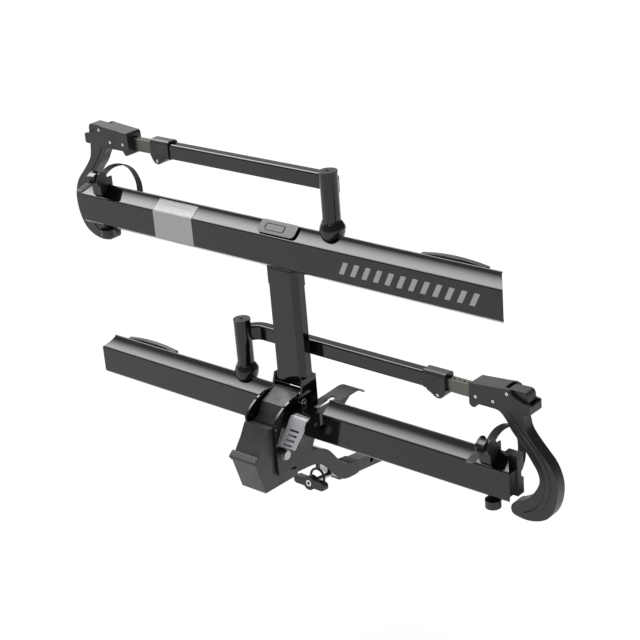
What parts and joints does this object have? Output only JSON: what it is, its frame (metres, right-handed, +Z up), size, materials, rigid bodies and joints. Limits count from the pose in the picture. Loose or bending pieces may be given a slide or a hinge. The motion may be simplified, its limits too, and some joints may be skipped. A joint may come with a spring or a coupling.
{
  "type": "hitch mounted bike rack",
  "caption": "Folding two-tray platform bike rack on a square hitch bar, with telescoping ratchet arms, wheel hooks and straps",
  "frame": {"origin": "centre of the hitch pin hole, on the axis of the square hitch bar", "axes": "+X to the rack's right along the trays, +Y towards the car along the hitch bar, +Z up"},
  "size_m": [1.36, 0.5325, 0.7992],
  "materials": {
    "painted": "gloss black powder coat",
    "satin_steel": "satin black",
    "stainless": "brushed, slightly warm",
    "chrome": "polished",
    "zinc": "zinc plated",
    "plastic": "satin textured black",
    "gloss_plastic": "gloss black",
    "strap": "ribbed dark grey",
    "rubber": "satin dark grey",
    "reflective": "silver reflective film"
  },
  "bodies": {
    "hitch": {"stinger": "satin_steel", "gooseneck": "painted", "bracket": "satin_steel", "bumper": "rubber", "hinge_pin": "satin_steel", "cable_loop": "satin_steel"},
    "knob": {"knob_wing": "plastic", "draw_rod": "zinc", "lock_core": "chrome"},
    "wedge": {"wedge": "satin_steel"},
    "mast": {"spine": "painted", "spine_collar": "painted", "cover_plate": "gloss_plastic", "hub_plates": "painted", "hub_washers": "zinc", "hub_bolts": "chrome", "latch_housing": "zinc", "lever_pivot": "satin_steel", "inner_tray_left": "painted", "inner_tray_right": "painted", "outer_tray": "painted", "tray_brackets": "painted", "tray_mount": "painted", "tray_bolts": "zinc", "reflector_band": "reflective", "inner_wheel_cup": "plastic", "outer_wheel_cup": "plastic", "inner_knuckle": "plastic", "outer_knuckle": "plastic", "inner_arm_pin": "zinc", "outer_arm_pin": "zinc"},
    "latch": {"latch_pin": "zinc"},
    "lever": {"foot_lever": "painted"},
    "inner_arm": {"inner_arm": "painted", "inner_arm_cap": "gloss_plastic", "inner_collar": "plastic", "inner_collar_screw": "chrome"},
    "inner_hook": {"inner_slide_bar": "stainless", "inner_hook": "plastic", "inner_hook_screws": "chrome"},
    "inner_release": {"inner_release": "plastic"},
    "inner_cradle": {"inner_cradle": "plastic", "inner_strap": "strap"},
    "inner_buckle": {"inner_buckle": "gloss_plastic"},
    "outer_arm": {"outer_arm": "painted", "outer_arm_cap": "gloss_plastic", "outer_collar": "plastic", "outer_collar_screw": "chrome"},
    "outer_hook": {"outer_slide_bar": "stainless", "outer_hook": "plastic", "outer_hook_screws": "chrome"},
    "outer_release": {"outer_release": "plastic"},
    "outer_cradle": {"outer_cradle": "plastic", "outer_strap": "strap"},
    "outer_buckle": {"outer_buckle": "gloss_plastic"}
  },
  "joints": [
    {"name": "mast_fold", "type": "hinge", "parent": "hitch", "child": "mast", "pos_m": [0, -0.297, 0.1436], "axis": [1, 0, 0], "range_deg": [0, 97]},
    {"name": "lever_press", "type": "hinge", "parent": "mast", "child": "lever", "pos_m": [0.079, -0.3166, 0.20137], "axis": [1, 0, 0], "range_deg": [0, 8], "stiffness_Nm_per_rad": 6, "springref_deg": -6.88},
    {"name": "latch_slide", "type": "slide", "parent": "mast", "child": "latch", "axis": [1, 0, 0], "range_m": [0, 0.008]},
    {"name": "knob_turn", "type": "hinge", "parent": "hitch", "child": "knob", "pos_m": [0, -0.205, 0], "axis": [0, 1, 0], "range_deg": [0, 720]},
    {"name": "wedge_pull", "type": "slide", "parent": "hitch", "child": "wedge", "axis": [0, -1, 0], "range_m": [0, 0.004]},
    {"name": "inner_arm_swing", "type": "hinge", "parent": "mast", "child": "inner_arm", "pos_m": [-0.1474, -0.27552, 0.32363], "axis": [0, -0.1452, 0.9894], "range_deg": [0, 120]},
    {"name": "inner_hook_slide", "type": "slide", "parent": "inner_arm", "child": "inner_hook", "axis": [1, 0, 0], "range_m": [0, 0.22]},
    {"name": "inner_release_press", "type": "hinge", "parent": "inner_hook", "child": "inner_release", "pos_m": [0.5647, -0.24804, 0.37466], "axis": [0, 0.9894, 0.1452], "range_deg": [0, 3.5], "stiffness_Nm_per_rad": 2, "springref_deg": -3.44},
    {"name": "inner_cradle_slide", "type": "slide", "parent": "mast", "child": "inner_cradle", "axis": [-1, 0, 0], "range_m": [0, 0.2]},
    {"name": "inner_buckle_flip", "type": "hinge", "parent": "inner_cradle", "child": "inner_buckle", "pos_m": [0.541, -0.30738, 0.26943], "axis": [-1, 0, 0], "range_deg": [0, 50], "stiffness_Nm_per_rad": 0.05, "springref_deg": -20.05},
    {"name": "outer_arm_swing", "type": "hinge", "parent": "mast", "child": "outer_arm", "pos_m": [0.1474, -0.33315, 0.71632], "axis": [0, -0.1452, 0.9894], "range_deg": [-120, 0]},
    {"name": "outer_hook_slide", "type": "slide", "parent": "outer_arm", "child": "outer_hook", "axis": [-1, 0, 0], "range_m": [0, 0.22]},
    {"name": "outer_release_press", "type": "hinge", "parent": "outer_hook", "child": "outer_release", "pos_m": [-0.5647, -0.30567, 0.76735], "axis": [0, -0.9894, -0.1452], "range_deg": [0, 3.5], "stiffness_Nm_per_rad": 2, "springref_deg": -3.44},
    {"name": "outer_cradle_slide", "type": "slide", "parent": "mast", "child": "outer_cradle", "axis": [1, 0, 0], "range_m": [0, 0.2]},
    {"name": "outer_buckle_flip", "type": "hinge", "parent": "outer_cradle", "child": "outer_buckle", "pos_m": [-0.541, -0.36502, 0.66212], "axis": [-1, 0, 0], "range_deg": [0, 50], "stiffness_Nm_per_rad": 0.05, "springref_deg": -20.05}
  ],
  "couplings": [
    {"joint": "latch_slide", "follows": "lever_press", "m_per_rad": 0.057296},
    {"joint": "knob_turn", "follows": "wedge_pull", "rad_per_m": 3141.6}
  ]
}
